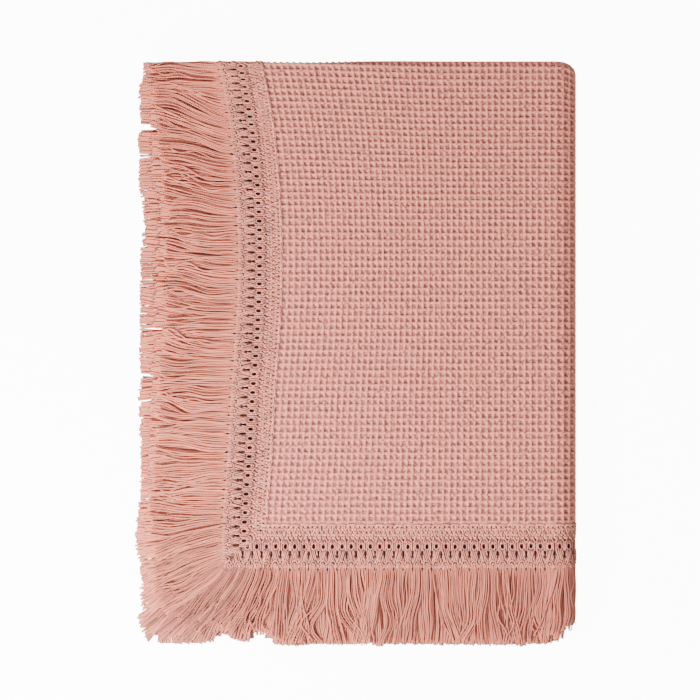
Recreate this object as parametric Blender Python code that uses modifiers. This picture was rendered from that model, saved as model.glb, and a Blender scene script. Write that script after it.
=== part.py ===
"""Waffle weave cotton blanket with a lace border and a fringe, folded to an eighth of its area.

The blanket is drawn flat, as its maker lays it out. u runs across it and v along it, both from
the seam at one corner of the waffle cloth. One function folds every flat point: in half along v,
over the top edge, and then in half twice along u, round a left hairpin and a thick right fold.
A second function lets the folded blanket settle: the front border bows and the fringe sinks and
leans. +X is right, +Y up the front face and +Z off the floor.
"""

import math

import bmesh
import bpy
import numpy as np

MM = 0.001

# The folded blanket, seen from above
RIGHT_EDGE = 188.0 * MM
TOP_EDGE = 250.0 * MM
SEAM_X = -78.5 * MM
SEAM_Y = -146.5 * MM

# The pieces
CLOTH_THICKNESS = 2.5 * MM
BAND_WIDTH = 38.2 * MM
BAND_THICKNESS = 2.2 * MM
HEADING_WIDTH = 3.0 * MM
FRINGE_LENGTH = 61.0 * MM
HIDDEN_EXTRA = 5.0 * MM
LOCK_THICKNESS = 2.0 * MM
LOCK_TIP_SHARE = 0.55
GAP = 0.4 * MM
HEADING_GAP = 0.5 * MM

# The folds: two layers lie in each pair, and four pairs lie in the stack
LAYER_PITCH = 3.5 * MM
PAIR_PITCH = 7.2 * MM
PAIR_COUNT = 4
RIGHT_FOLD_REACH = 18.0 * MM
INNER_FOLD_SHIFT = 2.0 * MM
HAIRPIN_LEFT_FACE = -168.0 * MM

# The fringe's locks: the front ones show, the others lie under them
FRONT_PITCH = 12.0 * MM
FOLD_PITCH = 8.5 * MM
HIDDEN_PITCH = 28.0 * MM
LOCK_SHARE = 0.78
LOCK_SEGMENTS = 3
FAN_REACH = 62.0 * MM
FAN_ANGLE = math.radians(40.0)
FAN_EASE = 1.5
LENGTH_SPREAD = 2.0 * MM
SWAY_SPREAD = 0.8 * MM
TIP_SHARES = (0.82, 0.95)
SEED = 7

# How the folded blanket settles
SINK_REACH = 60.0 * MM
LOWER_SINK = 0.70
LEFT_SINK = 0.80
PUFF = 0.05
RIPPLE = 0.012
RIPPLE_X = 170.0 * MM
RIPPLE_Y = 210.0 * MM
BOW_FADE_END = 140.0 * MM
CORNER_REACH = 27.0 * MM
CORNER_DROP = 10.0 * MM
CORNER_FADE = 70.0 * MM

# The bow of the front border: distance below the top edge, shift to the right
BOW_ROWS = np.array([
    (0.0, -3.5),
    (28.0, 2.0),
    (64.0, 7.8),
    (122.0, 12.8),
    (180.0, 13.8),
    (236.0, 11.6),
    (282.0, 8.0),
    (337.0, 5.0),
    (386.0, 1.2),
    (430.0, 0.0),
]) * MM

# The lean of the left fringe: distance below the top edge, rise of the tips
LEFT_LEAN_ROWS = np.array([
    (0.0, 0.0),
    (40.0, 6.0),
    (130.0, 8.0),
    (230.0, 5.0),
    (330.0, 1.0),
    (440.0, 0.0),
]) * MM

# The lean of the lower fringe: distance from the right edge, shift of the tips to the left
LOWER_LEAN_ROWS = np.array([
    (0.0, 0.0),
    (180.0, 0.0),
    (235.0, 6.0),
    (290.0, 11.0),
    (370.0, 13.0),
]) * MM

COTTON = (0.62, 0.36, 0.30)
LACE = (0.63, 0.36, 0.30)
YARN = (0.60, 0.33, 0.27)
COTTON_ROUGHNESS = 0.9

# Worked out from the sizes above
LAYER_RADIUS = LAYER_PITCH / 2
PAIR_HALF = LAYER_RADIUS + CLOTH_THICKNESS / 2
PAIR_Z = [PAIR_HALF + index * PAIR_PITCH for index in range(PAIR_COUNT)]
TRIM = BAND_WIDTH + HEADING_WIDTH + FRINGE_LENGTH * 1.5
ROOT_X = SEAM_X - BAND_WIDTH
ROOT_Y = SEAM_Y - BAND_WIDTH
LOWER_STACK = PAIR_Z[1] + PAIR_HALF
BEND_POINTS = 121


def smooth(value):
    """Eases a value from 0 to 1."""
    share = np.clip(value, 0.0, 1.0)
    return share * share * (3.0 - 2.0 * share)


def eased_table(rows, position):
    """Reads a two-column table with eased steps between its rows."""
    index = np.clip(np.searchsorted(rows[:, 0], position) - 1, 0, len(rows) - 2)
    start = rows[index]
    end = rows[index + 1]
    share = np.clip((position - start[..., 0]) / (end[..., 0] - start[..., 0]), 0.0, 1.0)
    before = rows[np.maximum(index - 1, 0)]
    after = rows[np.minimum(index + 2, len(rows) - 1)]
    step = end[..., 0] - start[..., 0]
    slope_in = (end[..., 1] - before[..., 1]) / (end[..., 0] - before[..., 0]) * step
    slope_out = (after[..., 1] - start[..., 1]) / (after[..., 0] - start[..., 0]) * step
    square = share * share
    cube = square * share
    return ((2 * cube - 3 * square + 1) * start[..., 1] + (cube - 2 * square + share) * slope_in
            + (3 * square - 2 * cube) * end[..., 1] + (cube - square) * slope_out)


class Path:
    """A plane path of straight runs and half-ellipse bends, read by its length."""

    def __init__(self, start, heading):
        self.points = [np.array(start)]
        self.normals = [np.array((0.0, heading))]
        self.marks = []

    def run_to(self, x):
        """Adds a straight run to x, and marks its end."""
        self.points.append(np.array((x, self.points[-1][1])))
        self.normals.append(self.normals[-1])
        self.marks.append(len(self.points) - 1)

    def bend_to(self, height, reach, side):
        """Adds a bend to another height. side is 1 on the right and -1 on the left."""
        x, z = self.points[-1]
        rise = (z - height) / 2
        turn = 1.0 if self.normals[-1][1] * rise > 0 else -1.0
        for angle in np.linspace(math.pi / 2, -math.pi / 2, BEND_POINTS)[1:]:
            across = math.cos(angle)
            along = math.sin(angle)
            self.points.append(np.array((x + side * reach * across, height + rise * (1 + along))))
            normal = np.array((abs(rise) * across * side, reach * along * math.copysign(1.0, rise)))
            self.normals.append(turn * normal / np.linalg.norm(normal))
        self.marks.append(len(self.points) - 1)

    def close(self, start_x):
        """Measures the path's length from where its first run passes start_x."""
        self.points = np.array(self.points)
        self.normals = np.array(self.normals)
        steps = np.linalg.norm(np.diff(self.points, axis=0), axis=1)
        self.lengths = np.concatenate(([0.0], np.cumsum(steps)))
        self.lengths -= start_x - self.points[0][0]
        self.marks = [float(self.lengths[index]) for index in self.marks]
        return self

    def point(self, length):
        """The path's two coordinates at a length."""
        return [np.interp(length, self.lengths, self.points[:, axis]) for axis in range(2)]

    def normal(self, length):
        """The path's unit normal at a length."""
        return [np.interp(length, self.lengths, self.normals[:, axis]) for axis in range(2)]


def across_path():
    """The section of the stack in x and z, along u."""
    right_turn = RIGHT_EDGE - RIGHT_FOLD_REACH - PAIR_HALF
    hairpin = PAIR_PITCH / 2
    left_turn = HAIRPIN_LEFT_FACE + PAIR_HALF + hairpin
    path = Path((SEAM_X - TRIM, PAIR_Z[3]), 1.0)
    path.run_to(right_turn)
    path.bend_to(PAIR_Z[0], RIGHT_FOLD_REACH, 1)
    path.run_to(left_turn)
    path.bend_to(PAIR_Z[1], hairpin, -1)
    path.run_to(right_turn + INNER_FOLD_SHIFT)
    path.bend_to(PAIR_Z[2], hairpin, 1)
    path.run_to(SEAM_X - TRIM)
    return path.close(SEAM_X)


def along_path():
    """The section of one pair of layers in y and height, along v."""
    turn = TOP_EDGE - PAIR_HALF
    path = Path((SEAM_Y - TRIM, LAYER_RADIUS), 1.0)
    path.run_to(turn)
    path.bend_to(-LAYER_RADIUS, LAYER_RADIUS, 1)
    path.run_to(SEAM_Y - TRIM)
    return path.close(SEAM_Y)


ACROSS = across_path()
ALONG = along_path()
FLAT_U = ACROSS.marks[-1] - TRIM
FLAT_V = ALONG.marks[-1] - TRIM


def fold(flat):
    """Folds flat points (u, v) into the stack, with its top right corner rounded off."""
    y, layer = ALONG.point(flat[:, 1])
    x, z = ACROSS.point(flat[:, 0])
    side, up = ACROSS.normal(flat[:, 0])
    size = np.hypot(side, up)
    reach = np.clip((x + PAIR_HALF - RIGHT_EDGE + CORNER_REACH) / CORNER_REACH, 0.0, 1.0)
    y = y - CORNER_DROP * reach * reach * smooth((y - TOP_EDGE + CORNER_FADE) / CORNER_FADE)
    return np.column_stack((x + layer * side / size, y, z + layer * up / size))


def settle(points):
    """Lets the folded points settle. Each step moves one coordinate and keeps the order on it."""
    x, y, z = points.T
    upper = smooth((z - PAIR_Z[2]) / (PAIR_Z[3] + LAYER_RADIUS - PAIR_Z[2]))
    fade = smooth((BOW_FADE_END - x) / (BOW_FADE_END - SEAM_X))
    x = x + eased_table(BOW_ROWS, TOP_EDGE - y) * upper * fade

    y = y + eased_table(LEFT_LEAN_ROWS, TOP_EDGE - y) * smooth((ROOT_X - x) / SINK_REACH)
    x = x - eased_table(LOWER_LEAN_ROWS, RIGHT_EDGE - x) * smooth((ROOT_Y - y) / SINK_REACH)

    left_sink = 1.0 - (1.0 - LEFT_SINK) * smooth((ROOT_X - x) / SINK_REACH)
    lower_sink = 1.0 - (1.0 - LOWER_SINK) * smooth((ROOT_Y - y) / SINK_REACH)
    z = np.minimum(z, LOWER_STACK) + np.maximum(z - LOWER_STACK, 0.0) * left_sink
    z = z * lower_sink

    across = np.clip((x - ROOT_X) / (RIGHT_EDGE - ROOT_X), 0.0, 1.0)
    along = np.clip((y - ROOT_Y) / (TOP_EDGE - ROOT_Y), 0.0, 1.0)
    dome = np.sin(math.pi * across) * np.sin(math.pi * along)
    waves = np.sin(2 * math.pi * x / RIPPLE_X + 1.0) * np.sin(2 * math.pi * y / RIPPLE_Y + 0.5)
    z = z + np.maximum(z - CLOTH_THICKNESS, 0.0) * (PUFF * np.sqrt(dome) + RIPPLE * waves * dome)
    return np.column_stack((x, y, z))


def samples(start, marks, end, counts):
    """Stations from start to end, with a set count of steps in each stretch between marks."""
    stops = [start, *marks, end]
    stretches = zip(stops[:-1], stops[1:], counts)
    stations = [np.linspace(low, high, count, endpoint=False) for low, high, count in stretches]
    return np.concatenate((*stations, [end]))


# Steps in each stretch of the cloth, from fold to fold
HAIRPIN_STEPS = 6
U_COUNTS = (5, 8, 3, HAIRPIN_STEPS, 3, HAIRPIN_STEPS, 4)
V_COUNTS = (11, HAIRPIN_STEPS, 11)
U_MARKS = ACROSS.marks[:-1]
V_MARKS = ALONG.marks[:-1]


def make_material(name, colour):
    """A plain cotton finish."""
    material = bpy.data.materials.new(name)
    material.use_nodes = True
    shader = material.node_tree.nodes["Principled BSDF"]
    shader.inputs["Base Color"].default_value = (*colour, 1.0)
    shader.inputs["Roughness"].default_value = COTTON_ROUGHNESS
    shader.inputs["Metallic"].default_value = 0.0
    return material


def add_sheet(name, bm, thickness, material, collection, tapered=False):
    """Turns a folded surface into a solid sheet."""
    mesh = bpy.data.meshes.new(name)
    bm.to_mesh(mesh)
    bm.free()
    mesh.materials.append(material)
    sheet = bpy.data.objects.new(name, mesh)
    collection.objects.link(sheet)
    solidify = sheet.modifiers.new("Thickness", "SOLIDIFY")
    solidify.thickness = thickness
    solidify.offset = 0.0
    solidify.use_even_offset = True
    if tapered:
        group = sheet.vertex_groups.new(name="Taper")
        shares = [item.value for item in mesh.attributes["taper"].data]
        for index, share in enumerate(shares):
            group.add([index], share, "REPLACE")
        solidify.vertex_group = group.name
        solidify.thickness_vertex_group = 0.0
    return sheet


def place(bm):
    """Moves a mesh drawn flat, with u and v in x and y, to its folded and settled place."""
    flat = np.array([vertex.co[:2] for vertex in bm.verts])
    for vertex, point in zip(bm.verts, settle(fold(flat))):
        vertex.co = point


def flat_grid(columns, rows):
    """A flat grid primitive, to be moved. Returned with its lines of vertices."""
    bm = bmesh.new()
    taper = bm.verts.layers.float.new("taper")
    bmesh.ops.create_grid(bm, x_segments=columns - 1, y_segments=rows - 1, size=1.0)
    lines = [[] for _ in range(rows)]
    for vertex in bm.verts:
        vertex[taper] = 1.0
        lines[round((vertex.co.y + 1.0) / 2.0 * (rows - 1))].append(vertex)
    for line in lines:
        line.sort(key=lambda vertex: vertex.co.x)
    return bm, lines


def build_cloth(material, collection):
    """The waffle cloth, inside the lace border."""
    stations_u = samples(0.0, U_MARKS, FLAT_U, U_COUNTS)
    stations_v = samples(0.0, V_MARKS, FLAT_V, V_COUNTS)
    bm, lines = flat_grid(len(stations_u), len(stations_v))
    for line, v in zip(lines, stations_v):
        for vertex, u in zip(line, stations_u):
            vertex.co = (u, v, 0.0)
    place(bm)
    return add_sheet("waffle_cloth", bm, CLOTH_THICKNESS, material, collection)


class Edge:
    """One of the flat blanket's four edges. Points on it are read by place along and outward."""

    def __init__(self, name, along_u, far):
        self.name = name
        self.along_u = along_u
        self.far = far
        self.length = FLAT_U if along_u else FLAT_V
        self.marks = U_MARKS if along_u else V_MARKS
        self.counts = U_COUNTS if along_u else V_COUNTS
        self.start = 0.0 if not far else (FLAT_V if along_u else FLAT_U)

    def flat(self, along, outward):
        """The flat point at a place along the edge, and a distance outward from the seam."""
        across = self.start + outward if self.far else -outward
        return (along, across, 0.0) if self.along_u else (across, along, 0.0)


EDGES = (
    Edge("left", along_u=False, far=False),
    Edge("right", along_u=False, far=True),
    Edge("lower", along_u=True, far=False),
    Edge("upper", along_u=True, far=True),
)


def build_band(edge, material, collection):
    """The lace band along one edge, mitred at both corners."""
    stations = samples(0.0, edge.marks, edge.length, edge.counts)
    offsets = (GAP, BAND_WIDTH)
    bm, lines = flat_grid(len(stations), len(offsets))
    for line, outward in zip(lines, offsets):
        mitre = outward - GAP
        for vertex, along in zip(line, stations):
            vertex.co = edge.flat(along, outward)
        line[0].co = edge.flat(-mitre, outward)
        line[-1].co = edge.flat(edge.length + mitre, outward)
    place(bm)
    return add_sheet(f"lace_band_{edge.name}", bm, BAND_THICKNESS, material, collection)


def lock_stations(edge):
    """Stations along a fringe heading. Each is a place, and whether a lock starts there."""
    stops = [-BAND_WIDTH, *edge.marks, edge.length + BAND_WIDTH]
    stations = []
    for index, (low, high) in enumerate(zip(stops[:-1], stops[1:])):
        is_run = index % 2 == 0
        is_front = index == 0 and not edge.far
        is_right_fold = edge.along_u and index == 1
        if not (is_run or is_right_fold):
            stations += [(along, False) for along in np.linspace(low, high, HAIRPIN_STEPS + 1)]
            continue
        pitch = FOLD_PITCH if is_right_fold else (FRONT_PITCH if is_front else HIDDEN_PITCH)
        count = round((high - low) / pitch)
        step = (high - low) / count
        for centre in low + step * (np.arange(count) + 0.5):
            stations.append((centre - step * LOCK_SHARE / 2, True))
            stations.append((centre + step * LOCK_SHARE / 2, False))
    return [(stops[0], False), *stations, (stops[-1], False)]


def fan_angle(edge, along):
    """The turn of a lock toward the nearer corner of the flat blanket."""
    from_start = (along + BAND_WIDTH) / FAN_REACH
    from_end = (edge.length + BAND_WIDTH - along) / FAN_REACH
    start_turn = np.clip(1.0 - from_start, 0.0, 1.0) ** FAN_EASE
    end_turn = np.clip(1.0 - from_end, 0.0, 1.0) ** FAN_EASE
    return FAN_ANGLE * (end_turn - start_turn)


def build_fringe(edge, random, material, collection):
    """The fringe along one edge: a narrow heading with locks that stand apart."""
    stations = lock_stations(edge)
    offsets = (BAND_WIDTH + HEADING_GAP, BAND_WIDTH + HEADING_WIDTH)
    bm, lines = flat_grid(len(stations), len(offsets))
    for line, outward in zip(lines, offsets):
        for vertex, (along, _) in zip(line, stations):
            vertex.co = edge.flat(along, outward)
        line[0].co = edge.flat(GAP - outward, outward)
        line[-1].co = edge.flat(edge.length + outward - GAP, outward)
    taper = bm.verts.layers.float["taper"]
    roots = lines[1]
    for index, (along, starts_lock) in enumerate(stations[:-1]):
        if not starts_lock:
            continue
        end = stations[index + 1][0]
        centre = (along + end) / 2
        half = (end - along) / 2
        turn = fan_angle(edge, centre)
        spread = (fan_angle(edge, end) - fan_angle(edge, along)) * FRINGE_LENGTH / (end - along)
        hidden_side = not edge.along_u and (edge.far or centre > edge.length / 2)
        length = FRINGE_LENGTH + HIDDEN_EXTRA * hidden_side
        length += random.uniform(-LENGTH_SPREAD, LENGTH_SPREAD)
        tip_half = half * (1.0 + spread) * random.uniform(*TIP_SHARES)
        shift = length * math.sin(turn) + random.uniform(-SWAY_SPREAD, SWAY_SPREAD)
        row = [roots[index], roots[index + 1]]
        for step in range(1, LOCK_SEGMENTS + 1):
            share = step / LOCK_SEGMENTS
            ring_edge = bm.edges.get(row)
            grown = bmesh.ops.extrude_edge_only(bm, edges=[ring_edge])["geom"]
            fresh = [item for item in grown if isinstance(item, bmesh.types.BMVert)]
            fresh.sort(key=lambda vertex: (vertex.co - row[0].co).length)
            reach = offsets[1] + length * math.cos(turn) * share
            middle = centre + shift * share
            width = half + (tip_half - half) * share
            for vertex, side in zip(fresh, (-1.0, 1.0)):
                vertex.co = edge.flat(middle + side * width, reach)
                vertex[taper] = 1.0 - (1.0 - LOCK_TIP_SHARE) * share
            row = fresh
    place(bm)
    name = f"fringe_{edge.name}"
    return add_sheet(name, bm, LOCK_THICKNESS, material, collection, tapered=True)


def build_blanket():
    """Builds every piece of the folded blanket."""
    for item in list(bpy.data.objects):
        bpy.data.objects.remove(item, do_unlink=True)
    collection = bpy.data.collections.new("waffle_blanket")
    bpy.context.scene.collection.children.link(collection)
    cotton = make_material("cotton_waffle", COTTON)
    lace = make_material("cotton_lace", LACE)
    yarn = make_material("cotton_fringe", YARN)
    random = np.random.default_rng(SEED)
    build_cloth(cotton, collection)
    for edge in EDGES:
        build_band(edge, lace, collection)
        build_fringe(edge, random, yarn, collection)


build_blanket()
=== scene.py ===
"""Looks of the folded waffle weave cotton blanket: waffle relief, crocheted lace and yarn fringe.

Every piece is drawn flat, with u across the opened blanket, v along it and h its height off the
middle of the cloth. FoldedStack folds those flat points and lets them settle, by the same rules
as the solids. Lengths are in metres unless a name says otherwise.
"""

import logging
import math
from dataclasses import dataclass, field
from enum import Enum
from typing import Any, Sequence

import bmesh
import bpy
import numpy as np
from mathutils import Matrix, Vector


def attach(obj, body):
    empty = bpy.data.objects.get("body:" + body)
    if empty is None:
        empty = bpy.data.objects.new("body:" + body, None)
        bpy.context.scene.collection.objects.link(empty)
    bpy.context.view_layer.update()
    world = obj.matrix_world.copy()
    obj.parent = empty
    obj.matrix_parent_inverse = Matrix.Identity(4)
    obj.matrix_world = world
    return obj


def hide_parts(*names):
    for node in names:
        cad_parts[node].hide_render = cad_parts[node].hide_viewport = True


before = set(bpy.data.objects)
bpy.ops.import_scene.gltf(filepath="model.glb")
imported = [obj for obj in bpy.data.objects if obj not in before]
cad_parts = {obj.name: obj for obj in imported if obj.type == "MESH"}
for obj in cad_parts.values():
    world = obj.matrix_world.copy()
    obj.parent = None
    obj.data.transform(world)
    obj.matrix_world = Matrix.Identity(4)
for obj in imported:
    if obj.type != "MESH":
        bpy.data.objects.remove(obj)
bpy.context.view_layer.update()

MM = 0.001
# The point attribute of a shade value: painted shade and own tone on yarns and lace, and a relief
# switch on the waffle cloth.
SHADE = "shade"
CLOTH_UV = "cloth"
LACE_SEED = 11
FRINGE_SEED = 21
TURN = 2 * math.pi
# Painted shade: the side of a yarn that faces down keeps this share of its shade value.
UNDERSIDE = 0.2
# How far the painted light wraps round a yarn, as a share of its radius.
WRAP = 0.6
# The share of a yarn's length that its knot takes up.
KNOT_END = 0.05

Array = np.ndarray
Colour = tuple[float, float, float]
Pair = tuple[float, float]

log = logging.getLogger("waffle_blanket")


def smooth(value: Array | float) -> Array:
    """Eases a value: 3 s^2 - 2 s^3 of its share s between 0 and 1.

    Args:
        value: The value to ease.

    Returns:
        The eased value, from 0 to 1.
    """
    share = np.clip(value, 0.0, 1.0)
    return share * share * (3.0 - 2.0 * share)


def eased_table(rows: Array, position: Array) -> Array:
    """Reads a two-column table with a cubic Hermite step between each pair of its rows.

    Args:
        rows: Positions in the first column and values in the second.
        position: Where to read.

    Returns:
        The values there, held at the first and last row outside the table.
    """
    index = np.clip(np.searchsorted(rows[:, 0], position) - 1, 0, len(rows) - 2)
    start, end = rows[index], rows[index + 1]
    before, after = rows[np.maximum(index - 1, 0)], rows[np.minimum(index + 2, len(rows) - 1)]
    step = end[..., 0] - start[..., 0]
    share = np.clip((position - start[..., 0]) / step, 0.0, 1.0)
    slope_in = (end[..., 1] - before[..., 1]) / (end[..., 0] - before[..., 0]) * step
    slope_out = (after[..., 1] - start[..., 1]) / (after[..., 0] - start[..., 0]) * step
    square, cube = share**2, share**3
    return ((2 * cube - 3 * square + 1) * start[..., 1] + (cube - 2 * square + share) * slope_in
            + (3 * square - 2 * cube) * end[..., 1] + (cube - square) * slope_out)


def eased_mm(rows: Sequence[Pair], position: Array) -> Array:
    """Reads a table that is written in mm, as eased_table does, in metres."""
    return eased_table(np.array(rows) * MM, position)


def quads(grid: Array) -> Array:
    """The quads of a grid of vertex numbers, facing up."""
    corners = (grid[:-1, :-1], grid[1:, :-1], grid[1:, 1:], grid[:-1, 1:])
    return np.stack(corners, axis=-1).reshape(-1, 4)


class BentPath:
    """A plane path of straight runs and half-ellipse bends, read by its length."""

    BEND_POINTS = 121

    def __init__(self, x: float, height: float) -> None:
        """Starts the path, heading in +x with its normal up.

        Args:
            x: Where it starts across.
            height: Where it starts in height.
        """
        self.points = [np.array((x, height))]
        self.normals = [np.array((0.0, 1.0))]
        self.marks: list[float] = []
        self.corners: list[int] = []
        self.lengths = np.zeros(1)

    def run_to(self, x: float) -> None:
        """Adds a straight run, and marks its end.

        Args:
            x: Where it ends.
        """
        self.points.append(np.array((x, self.points[-1][1])))
        self.normals.append(self.normals[-1])
        self.corners.append(len(self.points) - 1)

    def bend_to(self, height: float, reach: float, side: float) -> None:
        """Adds a half ellipse to another height.

        Args:
            height: Where the bend ends.
            reach: How far the bend stands out.
            side: 1 for a bend on the right and -1 for one on the left.
        """
        x, start = self.points[-1]
        rise = (start - height) / 2
        turn = 1.0 if self.normals[-1][1] * rise > 0 else -1.0
        for angle in np.linspace(math.pi / 2, -math.pi / 2, self.BEND_POINTS)[1:]:
            across, along = math.cos(angle), math.sin(angle)
            self.points.append(np.array((x + side * reach * across, height + rise * (1 + along))))
            normal = np.array((abs(rise) * across * side, reach * along * math.copysign(1.0, rise)))
            self.normals.append(turn * normal / np.linalg.norm(normal))
        self.corners.append(len(self.points) - 1)

    def measure_from(self, x: float) -> "BentPath":
        """Measures the path's length from where its first run passes x.

        Args:
            x: The place of length zero.

        Returns:
            The path itself.
        """
        self.points, self.normals = np.array(self.points), np.array(self.normals)
        steps = np.linalg.norm(np.diff(self.points, axis=0), axis=1)
        self.lengths = np.concatenate(([0.0], np.cumsum(steps))) - (x - self.points[0, 0])
        self.marks = [float(self.lengths[index]) for index in self.corners]
        return self

    def at(self, length: Array) -> tuple[Array, Array, Array, Array]:
        """Reads the path.

        Args:
            length: Lengths along the path.

        Returns:
            The two coordinates and the two parts of the unit normal there.
        """
        x, height = (np.interp(length, self.lengths, self.points[:, k]) for k in (0, 1))
        side, up = (np.interp(length, self.lengths, self.normals[:, k]) for k in (0, 1))
        size = np.hypot(side, up)
        return x, height, side / size, up / size


@dataclass
class FoldedStack:
    """The blanket's folds: in half over the top edge, and then twice across, nested.

    Rows are in mm. The bow rows hold a distance down from the top edge and the shift there, and
    so do the left lean rows. The lower lean rows hold a distance left from the right edge.
    """

    right_edge: float = 188.0 * MM
    top_edge: float = 250.0 * MM
    seam_x: float = -78.5 * MM
    seam_y: float = -146.5 * MM
    cloth_thickness: float = 2.5 * MM
    band_width: float = 38.2 * MM
    trim: float = 132.7 * MM
    layer_pitch: float = 3.5 * MM
    pair_pitch: float = 7.2 * MM
    right_fold_reach: float = 18.0 * MM
    inner_fold_shift: float = 2.0 * MM
    hairpin_left_face: float = -168.0 * MM
    sink_reach: float = 60.0 * MM
    lower_sink: float = 0.70
    left_sink: float = 0.80
    puff: float = 0.05
    ripple: float = 0.012
    ripple_x: float = 170.0 * MM
    ripple_y: float = 210.0 * MM
    ripple_phases: Pair = (1.0, 0.5)
    bow_fade_end: float = 140.0 * MM
    corner_reach: float = 27.0 * MM
    corner_drop: float = 6.5 * MM
    corner_power: float = 6.0
    corner_fade: float = 70.0 * MM
    floor_gap: float = 0.15 * MM
    bow_rows: tuple = ((0, -3.5), (28, 2), (64, 7.8), (122, 12.8), (180, 13.8), (236, 11.6),
                       (282, 8), (337, 5), (386, 1.2), (430, 0))
    left_lean_rows: tuple = ((0, 0), (40, 6), (130, 8), (230, 5), (330, 1), (440, 0))
    lower_lean_rows: tuple = ((0, 0), (180, 0), (235, 6), (290, 11), (345, 11), (375, 8))
    across: BentPath = field(init=False)
    along: BentPath = field(init=False)

    def __post_init__(self) -> None:
        """Lays out the section across and the section along."""
        self.layer_radius = self.layer_pitch / 2
        self.pair_half = self.layer_radius + self.cloth_thickness / 2
        self.pair_z = [self.pair_half + index * self.pair_pitch for index in range(4)]
        right_turn = self.right_edge - self.right_fold_reach - self.pair_half
        hairpin = self.pair_pitch / 2
        self.across = BentPath(self.seam_x - self.trim, self.pair_z[3])
        self.across.run_to(right_turn)
        self.across.bend_to(self.pair_z[0], self.right_fold_reach, 1)
        self.across.run_to(self.hairpin_left_face + self.pair_half + hairpin)
        self.across.bend_to(self.pair_z[1], hairpin, -1)
        self.across.run_to(right_turn + self.inner_fold_shift)
        self.across.bend_to(self.pair_z[2], hairpin, 1)
        self.across.run_to(self.seam_x - self.trim)
        self.across.measure_from(self.seam_x)
        self.along = BentPath(self.seam_y - self.trim, self.layer_radius)
        self.along.run_to(self.top_edge - self.pair_half)
        self.along.bend_to(-self.layer_radius, self.layer_radius, 1)
        self.along.run_to(self.seam_y - self.trim)
        self.along.measure_from(self.seam_y)
        self.flat_u = self.across.marks[-1] - self.trim
        self.flat_v = self.along.marks[-1] - self.trim

    def place(self, flat: Array) -> Array:
        """Folds flat points and lets them settle.

        Args:
            flat: Rows of u, v and h.

        Returns:
            Rows of x, y and z.
        """
        u, v, h = flat.T
        y, layer, lean, rise = self.along.at(v)
        y, layer = y + h * lean, layer + h * rise
        x, z, side, up = self.across.at(u)
        share = np.clip((x + self.pair_half - self.right_edge + self.corner_reach)
                        / self.corner_reach, 0.0, 1.0)
        y = y - self.corner_drop * share**self.corner_power * smooth(
            (y - self.top_edge + self.corner_fade) / self.corner_fade)
        return self.settle(x + layer * side, y, z + layer * up)

    def settle(self, x: Array, y: Array, z: Array) -> Array:
        """Bows the front border, sinks and leans the fringe, and puffs the stack.

        Args:
            x: Folded places across.
            y: Folded places along.
            z: Folded heights.

        Returns:
            Rows of x, y and z.
        """
        root_x, root_y = self.seam_x - self.band_width, self.seam_y - self.band_width
        upper = smooth((z - self.pair_z[2]) / (self.pair_z[3] + self.layer_radius - self.pair_z[2]))
        fade = smooth((self.bow_fade_end - x) / (self.bow_fade_end - self.seam_x))
        x = x + eased_mm(self.bow_rows, self.top_edge - y) * upper * fade
        beyond_left = smooth((root_x - x) / self.sink_reach)
        y = y + eased_mm(self.left_lean_rows, self.top_edge - y) * beyond_left
        beyond_lower = smooth((root_y - y) / self.sink_reach)
        x = x - eased_mm(self.lower_lean_rows, self.right_edge - x) * beyond_lower
        left_sink = 1.0 - (1.0 - self.left_sink) * smooth((root_x - x) / self.sink_reach)
        lower_stack = self.pair_z[1] + self.pair_half
        z = np.minimum(z, lower_stack) + np.maximum(z - lower_stack, 0.0) * left_sink
        z = z * (1.0 - (1.0 - self.lower_sink) * beyond_lower)
        across = np.clip((x - root_x) / (self.right_edge - root_x), 0.0, 1.0)
        along = np.clip((y - root_y) / (self.top_edge - root_y), 0.0, 1.0)
        dome = np.sin(math.pi * across) * np.sin(math.pi * along)
        waves = (np.sin(TURN * x / self.ripple_x + self.ripple_phases[0])
                 * np.sin(TURN * y / self.ripple_y + self.ripple_phases[1]))
        lift = self.puff * np.sqrt(np.maximum(dome, 0.0)) + self.ripple * waves * dome
        z = z + np.maximum(z - self.cloth_thickness, 0.0) * lift
        return np.column_stack((x, y, np.maximum(z, self.floor_gap)))


class Side(Enum):
    """The flat blanket's four edges: whether each runs along u, and whether it is the far one."""

    LEFT = (False, False)
    RIGHT = (False, True)
    LOWER = (True, False)
    UPPER = (True, True)


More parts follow.
